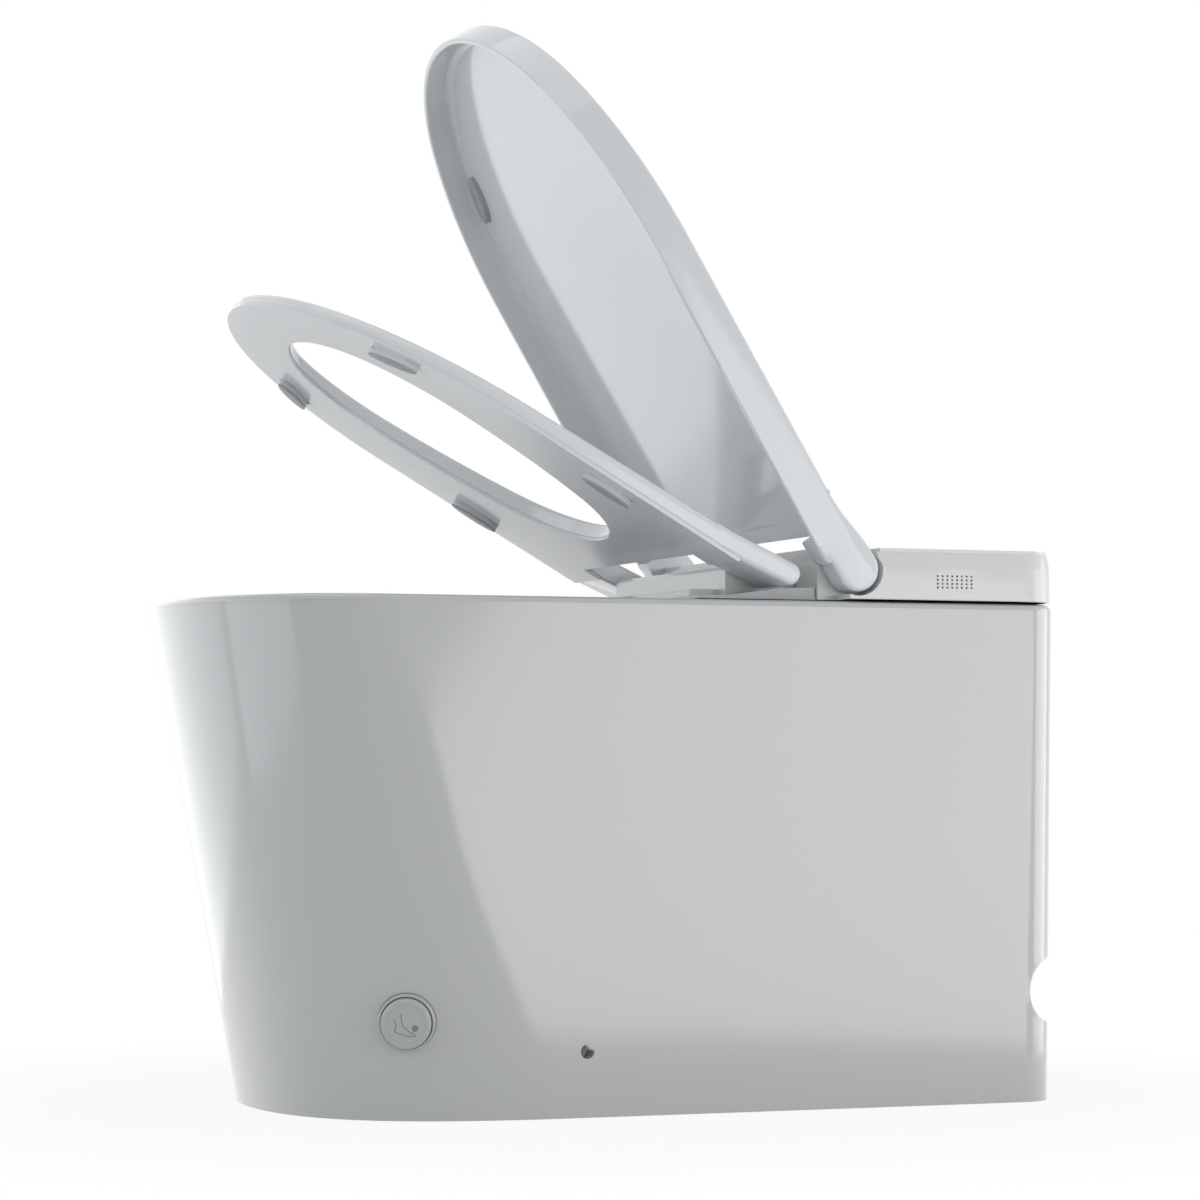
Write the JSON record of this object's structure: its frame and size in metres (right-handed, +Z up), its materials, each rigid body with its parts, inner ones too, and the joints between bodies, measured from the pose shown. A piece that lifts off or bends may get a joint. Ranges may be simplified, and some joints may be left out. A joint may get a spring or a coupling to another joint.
{
  "type": "smart toilet with heated seat",
  "caption": "Floor-standing skirted toilet with a heated bidet seat, both seat and lid half open, a rear electronics housing and a round foot button.",
  "frame": {"origin": "on the floor in the middle plane, at the floor mount, which is the front of the soft ring round the waste outlet, 57 mm in front of the outlet's centre", "axes": "+X to the side that carries the foot button; +Y to the wall behind; +Z up; the front of the bowl looks to -Y"},
  "size_m": [0.3848, 0.714, 0.8841],
  "materials": {
    "glaze": "white vitreous glaze, high gloss",
    "seal": "soft dark seal",
    "bracket": "galvanised bracket",
    "button_trim": "glossy white ring",
    "button": "glossy white cap",
    "inner_plastic": "dark moulded plastic",
    "base_plastic": "white moulded base",
    "steel": "plain steel",
    "nut_plastic": "moulded wing nut",
    "shell_plastic": "glossy white housing",
    "steel_bright": "polished steel tube",
    "seat_plastic": "glossy white seat",
    "seat_under": "satin white underside",
    "foil": "heater foil",
    "bumper": "grey soft feet",
    "lid_plastic": "glossy white lid",
    "board": "green circuit board",
    "fan_plastic": "black blower wheel",
    "valve_plastic": "white valve body",
    "brass": "plain brass thread",
    "hose": "grey hose"
  },
  "bodies": {
    "toilet": {"ceramic_body": "glaze", "outlet_seal": "seal", "floor_brackets": "bracket", "foot_button_bezel": "button_trim", "foot_switch": "inner_plastic", "unit_base": "base_plastic", "deck_gasket": "seal", "unit_bolts": "steel", "unit_nuts": "nut_plastic", "rear_cover": "shell_plastic", "rear_top_plate": "shell_plastic", "nozzle_housing": "shell_plastic", "nozzle_guide": "inner_plastic", "nozzle_motor": "steel", "seat_dampers": "steel", "lid_drive": "inner_plastic", "lid_damper": "inner_plastic", "water_heater": "inner_plastic", "power_supply": "steel", "control_board": "board", "fan_housing": "inner_plastic", "deodoriser": "inner_plastic", "inlet_valve": "valve_plastic", "inlet_fitting": "brass", "flush_hose": "hose", "cable_gland": "inner_plastic"},
    "seat": {"seat_top_shell": "seat_plastic", "seat_bottom_plate": "seat_under", "seat_heater": "foil", "seat_bumpers": "bumper"},
    "lid": {"lid_shell": "lid_plastic", "lid_bumpers": "bumper"},
    "wand": {"nozzle_wand": "steel_bright", "nozzle_shield": "shell_plastic", "nozzle_carriage": "inner_plastic"},
    "button": {"foot_button_cap": "button"},
    "fan": {"fan_wheel": "fan_plastic"}
  },
  "joints": [
    {"name": "lid_hinge", "type": "hinge", "parent": "toilet", "child": "lid", "pos_m": [0, 0.1771, 0.431], "axis": [-1, 0, 0], "range_deg": [-59.26, 31]},
    {"name": "seat_hinge", "type": "hinge", "parent": "toilet", "child": "seat", "pos_m": [0, 0.1206, 0.4267], "axis": [-1, 0, 0], "range_deg": [-29.91, 60]},
    {"name": "nozzle_slide", "type": "slide", "parent": "toilet", "child": "wand", "axis": [0, -0.9613, -0.2756], "range_m": [0, 0.095]},
    {"name": "foot_button", "type": "slide", "parent": "toilet", "child": "button", "axis": [-0.9159, 0.3889, 0.0997], "range_m": [0, 0.004], "stiffness_N_per_m": 1200, "springref_m": -0.002},
    {"name": "fan_spin", "type": "hinge", "parent": "toilet", "child": "fan", "pos_m": [-0.15, 0.278, 0.42], "axis": [0, 0, 1], "continuous": true}
  ],
  "couplings": [
    {"joint": "seat_hinge", "follows": "lid_hinge", "ratio": 0.50456}
  ]
}
